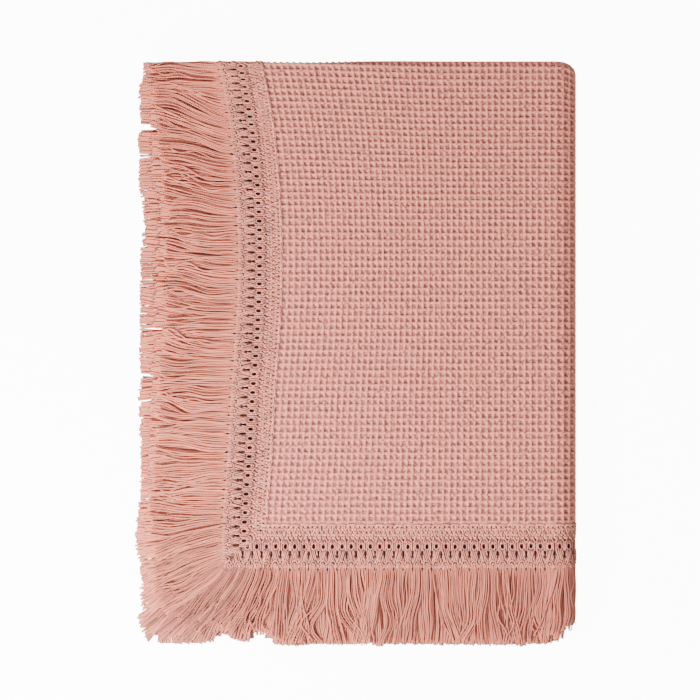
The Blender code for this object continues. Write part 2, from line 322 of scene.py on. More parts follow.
@dataclass(frozen=True)
class Edge:
    """One edge of the flat blanket, read by place along and distance outward from the seam.

    The pitch rows hold places along and the lace's pitch there, in mm. The left edge uses them
    all, and the others only the last, even ones.
    """

    side: Side
    stack: FoldedStack
    pitch_rows: tuple = ((-40, 8.05), (90, 7.85), (190, 7.7), (295, 7.6), (333, 7.2), (362, 6.4),
                         (392, 5.9), (430, 8.1), (1000, 8.1))
    overrun: float = 16.0 * MM
    samples: int = 4001

    @property
    def name(self) -> str:
        """The edge's name in the solids."""
        return self.side.name.lower()

    @property
    def along_u(self) -> bool:
        """Whether the edge runs along u."""
        return self.side.value[0]

    @property
    def first_repeat(self) -> float:
        """How far the lace's repeats are shifted along the edge."""
        return {Side.LEFT: 4.2 * MM, Side.LOWER: 2.0 * MM}.get(self.side, 0.0)

    @property
    def far(self) -> bool:
        """Whether the edge is the one away from u and v zero."""
        return self.side.value[1]

    @property
    def length(self) -> float:
        """The edge's length between the cloth's corners."""
        return self.stack.flat_u if self.along_u else self.stack.flat_v

    @property
    def marks(self) -> list[float]:
        """Where the folds start and end along the edge."""
        return (self.stack.across if self.along_u else self.stack.along).marks[:-1]

    def flat(self, local: Array) -> Array:
        """Turns places on the edge into flat points.

        Args:
            local: Places along, distances outward and heights, on the last axis.

        Returns:
            u, v and h on the last axis.
        """
        along, outward, height = local[..., 0], local[..., 1], local[..., 2]
        far_start = self.stack.flat_v if self.along_u else self.stack.flat_u
        across = far_start + outward if self.far else -outward
        pair = (along, across) if self.along_u else (across, along)
        return np.stack((*pair, height), axis=-1)

    def repeats(self) -> tuple[Array, Array]:
        """Lays out the lace's repeats: equal steps of the sum of 1 over the pitch.

        Returns:
            The repeats' middles and widths, from corner to corner.
        """
        start = self.first_repeat - self.stack.band_width - self.overrun
        along = np.linspace(start, self.length + self.stack.band_width, self.samples)
        rows = self.pitch_rows if self.side is Side.LEFT else self.pitch_rows[-2:]
        pitch = eased_mm(rows, (along[1:] + along[:-1]) / 2)
        total = np.concatenate(([0.0], np.cumsum(np.diff(along) / pitch)))
        count = 2 * round(total[-1] / 2)
        borders = np.interp(np.linspace(0.0, total[-1], count + 1), total, along)
        middles, widths = (borders[1:] + borders[:-1]) / 2, np.diff(borders)
        kept = middles > -self.stack.band_width
        return middles[kept], widths[kept]

    def from_corner(self, along: Array) -> Array:
        """The distance from the nearer corner."""
        return np.minimum(along, self.length - along)

    def half_sign(self, along: Array) -> Array:
        """1 on the edge's first half and -1 on its second."""
        return np.where(along < self.length / 2, 1.0, -1.0)

    def in_hairpin(self, along: Array, margin: float) -> Array:
        """Marks places within a sharp fold. The wide right fold isn't one.

        Args:
            along: Places along the edge.
            margin: How far the mark reaches past each fold.

        Returns:
            True where a place lies in a sharp fold.
        """
        folds = list(zip(self.marks[0::2], self.marks[1::2]))
        if self.along_u:
            folds = folds[1:]
        inside = np.zeros(np.shape(along), bool)
        for low, high in folds:
            inside |= (along > low - margin) & (along < high + margin)
        return inside


class Draft:
    """Flat points, faces, texture corners and shades, gathered before they are folded."""

    def __init__(self, stack: FoldedStack) -> None:
        """Starts an empty draft.

        Args:
            stack: The folds that its points will go through.
        """
        self.stack = stack
        self.points: list[Array] = []
        self.faces: list[Array] = []
        self.corners: list[Array] = []
        self.shades: list[Array] = []
        self.count = 0

    def add(self, points: Array, faces: Sequence[Array], corners: Array, shade: Array) -> None:
        """Adds a closed shell.

        Args:
            points: Rows of u, v and h.
            faces: Arrays of vertex numbers, each with one face a row.
            corners: One row of texture coordinates for each corner of each face, in order.
            shade: A number for each point, from 0, dark, to 1, light, or a little more.
        """
        self.points.append(points)
        self.faces += [part + self.count for part in faces]
        self.corners.append(corners)
        self.shades.append(shade)
        self.count += len(points)

    def add_tubes(self, paths: Array, radii: Array, sides: int, shade: Array) -> None:
        """Adds round yarns. A ring at each path point is r cos t to the side and r sin t upward.

        The side that faces down once the path is folded is painted darker, as painted shade where its
        neighbours cover it.

        Args:
            paths: Flat points of each yarn, as yarns by points by 3.
            radii: The yarns' radii, as yarns by points.
            sides: Corners of each ring.
            shade: A number from 0, dark, upward for each yarn's point. Over 1 it stays light
                further down the sides.
        """
        count, steps = paths.shape[:2]
        heading = np.gradient(paths, axis=1)
        heading /= np.maximum(np.linalg.norm(heading, axis=2, keepdims=True), 1e-9)
        side = np.cross(heading, (0.0, 0.0, 1.0))
        side /= np.maximum(np.linalg.norm(side, axis=2, keepdims=True), 1e-9)
        up = np.cross(side, heading)
        angle = np.arange(sides) * TURN / sides + math.pi / 2
        ring = (np.cos(angle)[:, None] * side[:, :, None, :]
                + np.sin(angle)[:, None] * up[:, :, None, :])
        points = paths[:, :, None, :] + radii[:, :, None, None] * ring
        number = np.arange(count * steps * sides).reshape(count, steps, sides)
        turned = np.roll(number, -1, axis=2)
        walls = np.stack((number[:, :-1], number[:, 1:], turned[:, 1:], turned[:, :-1]), axis=-1)
        caps = np.concatenate((number[:, 0], number[:, -1, ::-1]))
        travel = np.cumsum(np.linalg.norm(np.diff(paths, axis=1), axis=2), axis=1)
        travel = np.concatenate((np.zeros((count, 1)), travel), axis=1)
        around = np.arange(sides + 1) / sides
        corner = np.zeros((count, steps - 1, sides, 4, 2))
        corner[..., 0] = np.stack((travel[:, :-1], travel[:, 1:], travel[:, 1:], travel[:, :-1]),
                                  axis=-1)[:, :, None, :]
        corner[..., 1] = np.stack((around[:-1], around[:-1], around[1:], around[1:]), axis=-1)
        flat_corners = np.concatenate((corner.reshape(-1, 2), np.zeros((caps.size, 2))))
        raised = self.stack.place((paths + np.array((0.0, 0.0, MM))).reshape(-1, 3))
        level = self.stack.place(paths.reshape(-1, 3))
        # Painted shade: the points of each ring that face down once folded are darker.
        facing = np.clip((raised - level)[:, 2] / MM, -1.0, 1.0).reshape(count, steps, 1)
        lit = np.clip((np.sin(angle) * facing + WRAP) / (1 + WRAP), 0.0, 1.0)
        painted_underside_shade = UNDERSIDE + (1 - UNDERSIDE) * lit
        self.add(points.reshape(-1, 3), [walls.reshape(-1, 4), caps], flat_corners,
                 (shade[..., None] * painted_underside_shade).ravel())

    def build(self, name: str, material: bpy.types.Material, slot: str,
              replaced: Sequence[str]) -> bpy.types.Object:
        """Folds the draft and makes its piece.

        Args:
            name: The piece's name.
            material: Its finish.
            slot: The record's slot of that finish. It is not used.
            replaced: The CAD nodes that the piece stands for.

        Returns:
            The piece, riding on the blanket's one body.
        """
        mesh = bpy.data.meshes.new(name)
        faces = [face for part in self.faces for face in part.tolist()]
        points = self.stack.place(np.concatenate(self.points))
        mesh.from_pydata(points.tolist(), [], faces, shade_flat=False)
        layer = mesh.uv_layers.new(name=CLOTH_UV)
        layer.data.foreach_set("uv", np.concatenate(self.corners).astype(np.float32).ravel())
        shades = mesh.attributes.new(SHADE, "FLOAT", "POINT")
        shades.data.foreach_set("value", np.concatenate(self.shades).astype(np.float32))
        mesh.materials.append(material)
        piece = bpy.data.objects.new(name, mesh)
        bpy.context.scene.collection.objects.link(piece)
        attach(piece, "root")
        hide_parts(*replaced)
        log.info("%s: %d triangles", name, sum(len(face) - 2 for face in faces))
        return piece


class Signal:
    """A number on a socket. An expression on it adds its Math nodes."""

    def __init__(self, shading: "Shading", socket: bpy.types.NodeSocket) -> None:
        """Wraps a socket."""
        self.shading = shading
        self.socket = socket

    def math(self, operation: str, *others: "Signal | float", first: "Signal | float | None" = None
             ) -> "Signal":
        """Adds a Math node.

        Args:
            operation: The node's operation.
            others: What follows this number.
            first: What comes before this number, if anything.

        Returns:
            The node's result.
        """
        values = [self, *others] if first is None else [first, self, *others]
        node = self.shading.node("ShaderNodeMath", {"operation": operation},
                                 dict(enumerate(values)))
        return Signal(self.shading, node.outputs[0])

    def __add__(self, other: "Signal | float") -> "Signal":
        """This plus other."""
        return self.math("ADD", other)

    def __mul__(self, other: "Signal | float") -> "Signal":
        """This times other."""
        return self.math("MULTIPLY", other)

    def __sub__(self, other: "Signal | float") -> "Signal":
        """This minus other."""
        return self.math("SUBTRACT", other)

    def __rsub__(self, other: float) -> "Signal":
        """Other minus this."""
        return self.math("SUBTRACT", first=other)

    __radd__ = __add__
    __rmul__ = __mul__

    def ramp(self, low: float, high: float) -> "Signal":
        """Eases from 0 at low to 1 at high.

        Args:
            low: Where the result is 0.
            high: Where the result is 1.

        Returns:
            The eased number.
        """
        node = self.shading.node("ShaderNodeMapRange", {"interpolation_type": "SMOOTHSTEP"},
                                 {"Value": self, "From Min": low, "From Max": high})
        return Signal(self.shading, node.outputs["Result"])

    def to_middle(self) -> "Signal":
        """The distance to the nearest whole number, from 0 to a half."""
        return ((self + 0.5).math("FRACT") - 0.5).math("ABSOLUTE")


class Shading:
    """A node material under construction."""

    SHEEN = {"Sheen Weight": 0.15, "Sheen Roughness": 0.6, "Sheen Tint": (1.0, 0.7, 0.62, 1.0),
             "Specular IOR Level": 0.2}

    def __init__(self, name: str, roughness: float) -> None:
        """Starts a material with a Principled shader.

        Args:
            name: The material's name.
            roughness: The shader's roughness.
        """
        self.material = bpy.data.materials.new(name)
        self.material.use_nodes = True
        self.tree = self.material.node_tree
        self.shader = self.tree.nodes["Principled BSDF"]
        self.shader.inputs["Roughness"].default_value = roughness
        for key, value in self.SHEEN.items():
            self.shader.inputs[key].default_value = value

    def node(self, kind: str, settings: dict[str, Any], inputs: dict[str | int, Any]
             ) -> bpy.types.Node:
        """Adds a node.

        Args:
            kind: The node's type.
            settings: Its properties, set first.
            inputs: A value, socket or Signal for each input.

        Returns:
            The node.
        """
        node = self.tree.nodes.new(kind)
        for key, value in settings.items():
            setattr(node, key, value)
        for key, value in inputs.items():
            if isinstance(value, Signal):
                value = value.socket
            if isinstance(value, bpy.types.NodeSocket):
                self.tree.links.new(value, node.inputs[key])
            else:
                node.inputs[key].default_value = value
        return node

    def flat(self) -> tuple[bpy.types.NodeSocket, Signal, Signal]:
        """Reads the piece's own texture coordinates.

        Returns:
            The coordinates as a vector, and then as two numbers.
        """
        vector = self.node("ShaderNodeUVMap", {"uv_map": CLOTH_UV}, {}).outputs[0]
        parts = self.node("ShaderNodeSeparateXYZ", {}, {0: vector})
        return vector, Signal(self, parts.outputs[0]), Signal(self, parts.outputs[1])

    def place(self) -> bpy.types.NodeSocket:
        """The point's place in the blanket's frame."""
        return self.node("ShaderNodeTexCoord", {}, {}).outputs["Object"]

    def shade(self) -> Signal:
        """The shade that the mesh keeps for each point."""
        node = self.node("ShaderNodeAttribute", {"attribute_name": SHADE}, {})
        return Signal(self, node.outputs["Fac"])

    def noise(self, vector: bpy.types.NodeSocket, scale: float, detail: float = 2.0) -> Signal:
        """Soft noise from 0 to 1.

        Args:
            vector: Where it is read.
            scale: Blotches per unit.
            detail: How many finer levels it has.

        Returns:
            The noise.
        """
        node = self.node("ShaderNodeTexNoise", {}, {"Vector": vector, "Scale": scale,
                                                    "Detail": detail})
        return Signal(self, node.outputs[0])

    def mix(self, factor: Signal, low: Any, high: Any) -> bpy.types.NodeSocket:
        """Mixes two colours.

        Args:
            factor: 0 for the first and 1 for the second.
            low: The first colour.
            high: The second colour.

        Returns:
            The mixed colour.
        """
        def colour(value: Any) -> Any:
            """A colour with its alpha, or the socket itself."""
            return (*value, 1.0) if isinstance(value, tuple) else value
        node = self.node("ShaderNodeMix", {"data_type": "RGBA"},
                         {0: factor, 6: colour(low), 7: colour(high)})
        return node.outputs[2]

    def finish(self, colour: bpy.types.NodeSocket, height: Signal, distance: float
               ) -> bpy.types.Material:
        """Links the colour, and the height as a bump.

        Args:
            colour: The base colour.
            height: The relief, from 0 to 1.
            distance: The relief's depth.

        Returns:
            The material.
        """
        self.tree.links.new(colour, self.shader.inputs["Base Color"])
        bump = self.node("ShaderNodeBump", {}, {"Height": height, "Distance": distance,
                                                "Strength": 1.0})
        self.tree.links.new(bump.outputs[0], self.shader.inputs["Normal"])
        return self.material


@dataclass(frozen=True)
class WaffleFinish:
    """Soft waffle weave cotton: light ridges round pits darkened by painted shade, and a thread across
    each pit painted darker still as shade.

    A noise is its blotches a cell and its levels, and only the broad blotches are counted a
    metre. A span is where a ramp starts and ends.
    """

    cell: Pair
    first_row: float
    light: Colour = (0.97, 0.31, 0.22)
    # The deep colour is painted shade in the pits. The darkest colour serves flecks of thread, the
    # line of sewing and the painted shade on the thread in each pit.
    deep: Colour = (0.48, 0.165, 0.135)
    crumb_and_shade: Colour = (0.18, 0.075, 0.072)
    pit_span: Pair = (0.12, 0.25)
    wobble_noise: Pair = (2.1, 2.0)
    slant_span: Pair = (0.06, 0.26)
    level_place: float = 0.3
    level_span: Pair = (0.05, 0.2)
    choice_noise: Pair = (0.9, 1.0)
    slant_choice: Pair = (0.3, 0.5)
    level_choice: Pair = (0.35, 0.55)
    blob_noise: Pair = (1.7, 1.0)
    blob_span: Pair = (0.36, 0.6)
    depth_noise: Pair = (0.75, 1.0)
    depth_span: Pair = (0.34, 0.62)
    strand_noise: Pair = (2.4, 3.0)
    mottle_noise: Pair = (1.5, 2.0)
    mottle_span: Pair = (0.35, 0.6)
    uneven_noise: Pair = (0.3, 3.0)
    blotch_noise: Pair = (18.0, 2.0)
    cast_level: float = 2.52
    seam_inset: float = 1.2 * MM
    seam_span: Pair = (0.3 * MM, 0.8 * MM)
    bump: float = 0.9 * MM

    def threads(self, shading: Shading, vector: bpy.types.NodeSocket, across: Signal,
                along: Signal) -> Signal:
        """Marks the thread that crosses a pit, at a slant in some cells and level in others, for its
        painted shade.

        Args:
            shading: The material under construction.
            vector: The texture coordinates.
            across: Cells counted across.
            along: Cells counted along.

        Returns:
            1 on the thread and 0 off it.
        """
        wobble = shading.noise(vector, *self.wobble_noise) * 0.5 - 0.25
        right, up = across.math("FRACT"), along.math("FRACT")
        slant = 1 - ((right + up + wobble) - 1.0).math("ABSOLUTE").ramp(*self.slant_span)
        level = 1 - ((up + wobble * 0.6) - self.level_place).math("ABSOLUTE").ramp(*self.level_span)
        choice = shading.noise(vector, *self.choice_noise)
        slant = slant * choice.ramp(*self.slant_choice)
        return slant.math("MAXIMUM", level * (1 - choice).ramp(*self.level_choice))

    def build(self) -> bpy.types.Material:
        """Makes the material. Its texture coordinates count waffle cells.

        Returns:
            The material, with a line of sewing along the cloth's first column and row.
        """
        shading = Shading("waffle_cotton", 0.92)
        vector, across, along = shading.flat()
        pit = across.to_middle().ramp(*self.pit_span) * along.to_middle().ramp(*self.pit_span)
        blob = shading.noise(vector, *self.blob_noise).ramp(*self.blob_span)
        # Painted shade: the pits are darkened towards the deep colour.
        base = shading.mix(pit * (blob * 0.7 + 0.2), self.light, self.deep)
        depth = shading.noise(vector, *self.depth_noise).ramp(*self.depth_span) * 0.6 + 0.22
        thread = self.threads(shading, vector, across, along)
        # Painted shade: the thread across each pit is darkened.
        base = shading.mix(pit * thread * depth, base, self.crumb_and_shade)
        strands = shading.noise(vector, *self.strand_noise)
        mottle = shading.noise(vector, *self.mottle_noise)
        uneven = shading.noise(vector, *self.uneven_noise)
        blotches = shading.noise(shading.place(), *self.blotch_noise)
        cast = blotches * 0.1 + strands * 3.9 + mottle + uneven * 0.2 - self.cast_level
        base = shading.mix(cast, base, self.crumb_and_shade)
        inset = (across * self.cell[0]).math("MINIMUM", along * self.cell[1] + self.first_row)
        seam = 1 - (inset - self.seam_inset).math("ABSOLUTE").ramp(*self.seam_span)
        base = shading.mix(seam * mottle.ramp(*self.mottle_span) * 0.8, base, self.crumb_and_shade)
        height = (1 - pit) * (1 - shading.shade()) + strands * 0.5 + mottle * 0.4
        return shading.finish(base, height, self.bump)


@dataclass(frozen=True)
class YarnFinish:
    """Plied cotton yarn. Its texture coordinates are metres along and turns around."""

    name: str
    light: Colour
    deep: Colour
    ply: float = 3.2 * MM
    fuzz_scale: float = 900.0
    blotch_scale: float = 40.0
    lightness: float = 0.3
    bump: float = 0.22 * MM

    def build(self) -> bpy.types.Material:
        """Makes the material, with the plies' twist as a bump.

        Returns:
            The material: light, and deeper where the shade value is low, which holds painted shade and
                each point's own tone, and with painted shade between two plies.
        """
        shading = Shading(self.name, 0.9)
        _, travel, around = shading.flat()
        twist = ((travel * (1.0 / self.ply) + around) * (2 * TURN)).math("SINE") * 0.5 + 0.5
        fuzz = shading.noise(shading.place(), self.fuzz_scale)
        blotches = shading.noise(shading.place(), self.blotch_scale)
        # Painted shade: darker where the shade value is low and in the groove between two plies.
        tone = (1 - shading.shade()) + (1 - twist) * 0.2 + fuzz * 0.3 + blotches * 0.25
        base = shading.mix(tone - self.lightness, self.light, self.deep)
        return shading.finish(base, twist * 0.7 + fuzz * 0.3, self.bump)


@dataclass(frozen=True)
class WaffleCloth:
    """The waffle cloth inside the lace, with real relief on the front and over both folds."""

    stack: FoldedStack
    pitch_u: float = 5.4 * MM
    pitch_low: float = 5.86 * MM
    pitch_high: float = 5.45 * MM
    pitch_change: float = 260.0 * MM
    columns: int = 54
    rows: int = 70
    cell_steps: tuple = (0.13, 0.25, 0.75, 0.87)
    ridge_half: float = 0.13
    slope: float = 0.12
    ridge_height: float = 0.15 * MM
    pit_depth: float = 1.15 * MM
    row_start: float = 2.0 * MM
    row_drift: float = 3.2 * MM
    drift_reach: float = 160.0 * MM
    drift_rise: Pair = (200.0 * MM, 370.0 * MM)
    drift_fall: Pair = (400.0 * MM, 520.0 * MM)
    hidden_pick: int = 12
    hidden_until: tuple[int, int] = (180, 264)
    edge_pick: tuple[int, int] = (4, 2)
    sparse_step: float = 12.0 * MM
    fold_steps: int = 8
    fold_gap: float = 5.0 * MM

    def row_of(self, v: Array) -> Array:
        """Counts the rows up to a place along: v over one pitch, then over the other.

        Args:
            v: Places along.

        Returns:
            Row numbers with fractions.
        """
        low = (np.minimum(v, self.pitch_change) - self.row_start) / self.pitch_low
        return low + np.maximum(v - self.pitch_change, 0.0) / self.pitch_high

    def stations(self) -> tuple[Array, Array]:
        """Fine places with four steps a cell.

        Returns:
            Fine u and fine v, each from 0.
        """
        steps = np.array(self.cell_steps)
        count_u = (np.arange(self.columns)[:, None] + steps).ravel()
        count_v = (np.arange(self.rows)[:, None] + steps).ravel()
        change = (self.pitch_change - self.row_start) / self.pitch_low
        fine_v = self.row_start + np.minimum(count_v, change) * self.pitch_low
        fine_v = fine_v + np.maximum(count_v - change, 0.0) * self.pitch_high
        return np.append(0.0, count_u * self.pitch_u), np.append(0.0, fine_v)

    def picked(self, axis: int, count: int) -> Array:
        """Numbers of the fine places that the back shares: few at first, more at the folds.

        Args:
            axis: 0 for places across and 1 for places along.
            count: How many fine places there are.

        Returns:
            The numbers, with the last.
        """
        until = self.hidden_until[axis]
        first = np.arange(0, until, self.hidden_pick)
        later = np.arange(until, count, self.edge_pick[axis])
        return np.unique(np.concatenate((first, later, [count - 1])))

    def sparse(self, start: float, marks: Sequence[float], end: float) -> Array:
        """Places after the fine ones: wide steps, and small ones in each fold.

        Args:
            start: The last fine place.
            marks: The folds' starts and ends past it.
            end: The cloth's edge.

        Returns:
            The places, without the start.
        """
        stops = [start, *marks, end]
        parts = []
        for index, (low, high) in enumerate(zip(stops[:-1], stops[1:])):
            steps = self.fold_steps if index % 2 else max(2, round((high - low) / self.sparse_step))
            parts.append(np.linspace(low, high, steps + 1)[1:])
        return np.concatenate(parts)

    def relief(self, u: Array, v: Array) -> Array:
        """The front's height: high on both sets of ridges, and low between them.

        Args:
            u: Places across.
            v: Places along.

        Returns:
            The height above the cloth's face.
        """
        def between(count: Array) -> Array:
            """0 on a ridge and 1 in a pit."""
            return smooth((np.abs(count - np.round(count)) - self.ridge_half) / self.slope)
        return self.ridge_height - self.pit_depth * between(u / self.pitch_u) * between(self.row_of(v))

    def drift(self, flat: Array) -> Array:
        """Lets the rows at the top left climb to the left a little.

        Args:
            flat: Rows of u, v and h.

        Returns:
            The same rows, moved along v.
        """
        u, v, h = flat.T
        rise, fall = self.drift_rise, self.drift_fall
        climb = smooth(1.0 - u / self.drift_reach) * smooth((v - rise[0]) / (rise[1] - rise[0]))
        climb = climb * smooth((fall[1] - v) / (fall[1] - fall[0]))
        return np.column_stack((u, v + self.row_drift * climb, h))

    def build(self) -> bpy.types.Object:
        """Builds the cloth as one closed sheet.

        The front is a fine grid as far as it shows, and a sparse one beyond. The back is one
        sparse grid. A many-cornered face bridges each sparse step and the fine steps beside it.

        Returns:
            The cloth.
        """
        half = self.stack.cloth_thickness / 2
        fine_u, fine_v = self.stations()
        share_u, share_v = self.picked(0, len(fine_u)), self.picked(1, len(fine_v))
        marks_u = [mark for mark in self.stack.across.marks[:-1] if mark > fine_u[-1] + self.fold_gap]
        more_u = self.sparse(fine_u[-1], marks_u, self.stack.flat_u)
        more_v = self.sparse(fine_v[-1], [], self.stack.flat_v)
        near_u, near_v = len(share_u), len(share_v)

        grid_u, grid_v = np.meshgrid(fine_u, fine_v, indexing="ij")
        height = half + self.relief(grid_u, grid_v)
        height[(grid_u == 0.0) | (grid_v == 0.0)] = half
        fine_points = np.stack((grid_u, grid_v, height), axis=-1).reshape(-1, 3)
        fine = np.arange(grid_u.size).reshape(grid_u.shape)

        wide_u, wide_v = np.meshgrid(np.concatenate((fine_u[share_u], more_u)),
                                     np.concatenate((fine_v[share_v], more_v)), indexing="ij")
        beyond = np.ones(wide_u.shape, bool)
        beyond[:near_u, :near_v] = False
        outer = np.zeros(wide_u.shape, int)
        outer[:near_u, :near_v] = fine[np.ix_(share_u, share_v)]
        outer[beyond] = fine.size + np.arange(beyond.sum())
        outer_points = np.column_stack((wide_u[beyond], wide_v[beyond], np.full(beyond.sum(), half)))
        inner = fine.size + len(outer_points) + np.arange(wide_u.size).reshape(wide_u.shape)
        inner_points = np.column_stack((wide_u.ravel(), wide_v.ravel(), np.full(wide_u.size, -half)))
        points = np.concatenate((fine_points, outer_points, inner_points))

        faces = [quads(fine), quads(outer[near_u:]), quads(outer[:near_u, near_v:]),
                 quads(outer[near_u - 1:near_u + 1, near_v - 1:]), quads(inner)[:, ::-1],
                 quads(np.stack((outer[near_u - 1:, 0], inner[near_u - 1:, 0]))),
                 quads(np.stack((outer[0, near_v - 1:], inner[0, near_v - 1:]))),
                 quads(np.stack((outer[:, -1], inner[:, -1]))),
                 quads(np.stack((outer[-1], inner[-1])))]
        for line, stops, other in ((fine[-1], share_v, outer[near_u]),
                                   (fine[:, -1], share_u, outer[:, near_v]),
                                   (fine[:, 0], share_u, inner[:, 0]),
                                   (fine[0], share_v, inner[0])):
            faces += [np.append(line[low:high + 1], (other[step + 1], other[step]))[None, :]
                      for step, (low, high) in enumerate(zip(stops[:-1], stops[1:]))]

        draft = Draft(self.stack)
        order = np.concatenate([part.ravel() for part in faces])
        cells = np.column_stack((points[:, 0] / self.pitch_u, self.row_of(points[:, 1])))
        shade = (np.arange(len(points)) < fine.size).astype(float)
        draft.add(self.drift(points), faces, cells[order], shade)
        finish = WaffleFinish((self.pitch_u, self.pitch_low), self.row_start)
        cloth = draft.build("waffle_weave", finish.build(), "cotton_waffle", ["waffle_cloth"])
        turn_outward(cloth)
        return cloth


def turn_outward(piece: bpy.types.Object) -> None:
    """Turns a closed piece's faces outward.

    Args:
        piece: The piece.
    """
    bm = bmesh.new()
    bm.from_mesh(piece.data)
    bmesh.ops.recalc_face_normals(bm, faces=bm.faces)
    bm.to_mesh(piece.data)
    bm.free()


@dataclass(frozen=True)
class Stitch:
    """One thread of the lace, repeated along the edge.

    A place is a share of the repeat from its middle, the mm outward and the mm of height. The
    radius is in mm too. Every counts the repeats from one such thread to the next.
    """

    places: tuple[tuple[float, float, float], ...]
    radius: float
    every: int = 1
    front_only: bool = True

    def curve(self, steps: int) -> Array:
        """A smooth line through the places.

        Args:
            steps: How many points it gets.

        Returns:
            The line's points, as rows like the places.
        """
        rows = np.array(self.places)
        knots = np.arange(len(rows), dtype=float)
        read = np.linspace(0, len(rows) - 1, steps)
        return np.column_stack([eased_table(np.column_stack((knots, rows[:, k])), read)
                                for k in range(3)])


def lace_stitches() -> list[Stitch]:
    """The threads of one repeat of the lace, from the seam out to the fringe.

    Returns:
        Dense rows, a ring, the posts with their crossed legs, a scallop, ribs and a chain.
    """
    stitches = []
    for row, columns in enumerate((2, 3, 2, 3, 2)):
        for column in range(columns):
            middle = (column + 0.5 * (row % 4) / 2) / columns - 0.4
            outward = 3.1 + 2.35 * row
            for side in (-1, 1):
                stitches.append(Stitch(((middle + 0.02 * side, outward, 0.75),
                                        (middle + 0.33 * side / columns, outward - 2.5, 0.45)), 0.86))
    ring = tuple((0.25 * math.sin(angle), 18.9 - 2.8 * math.cos(angle), 0.55)
                 for angle in np.linspace(0, TURN, 11))
    stitches.append(Stitch(ring, 0.55))
    for side in (-1, 1):
        stitches += [
            Stitch(((0.5 + 0.11 * side, 14.6, 0.6), (0.5 + 0.10 * side, 22.6, 0.7)), 0.60),
            Stitch(((0.5 + 0.04 * side, 15.6, 0.6), (0.5 + 0.30 * side, 11.6, 0.5)), 0.62),
            Stitch(((0.03 * side, 14.4, 0.4), (0.30 * side, 16.6, 0.4)), 0.6),
            Stitch(((0.5 + 0.10 * side, 28.8, 0.5), (0.5 + 0.05 * side, 33.4, 0.7)), 0.52)]
        for start, end, high, low in ((0.14, 0.30, 26.4, 31.8), (0.17, 0.50, 22.0, 32.0),
                                      (0.34, 0.70, 22.0, 32.0), (0.54, 0.84, 22.0, 31.0),
                                      (0.72, 0.85, 22.0, 26.6)):
            stitches.append(Stitch(((0.5 + start * side, high, 0.7),
                                    (0.5 + (start + end) / 2 * side, (high + low) / 2, 1.2),
                                    (0.5 + end * side, low, 0.6)), 0.60, every=2))
    stitches.append(Stitch(((-0.33, 34.4, 0.8), (-0.21, 31.9, 1.3), (0.0, 30.9, 1.5),
                            (0.21, 31.9, 1.3), (0.33, 34.4, 0.8)), 0.56))
    stitches.append(Stitch(((-0.11, 34.4, 0.9), (0.0, 33.1, 1.2), (0.11, 34.4, 0.9)), 0.55))
    for rib in range(6):
        middle = (rib + 0.5) / 6.0 - 0.5
        stitches.append(Stitch(((middle, 34.2, 0.4), (middle, 35.8, 0.8), (middle * 0.88, 38.0, 0.1)),
                               0.62, front_only=False))
    stitches.append(Stitch(((-0.5, 0.9, 0.8), (0.0, 0.2, 1.1), (0.5, 0.9, 0.8)), 1.05,
                           front_only=False))
    return stitches


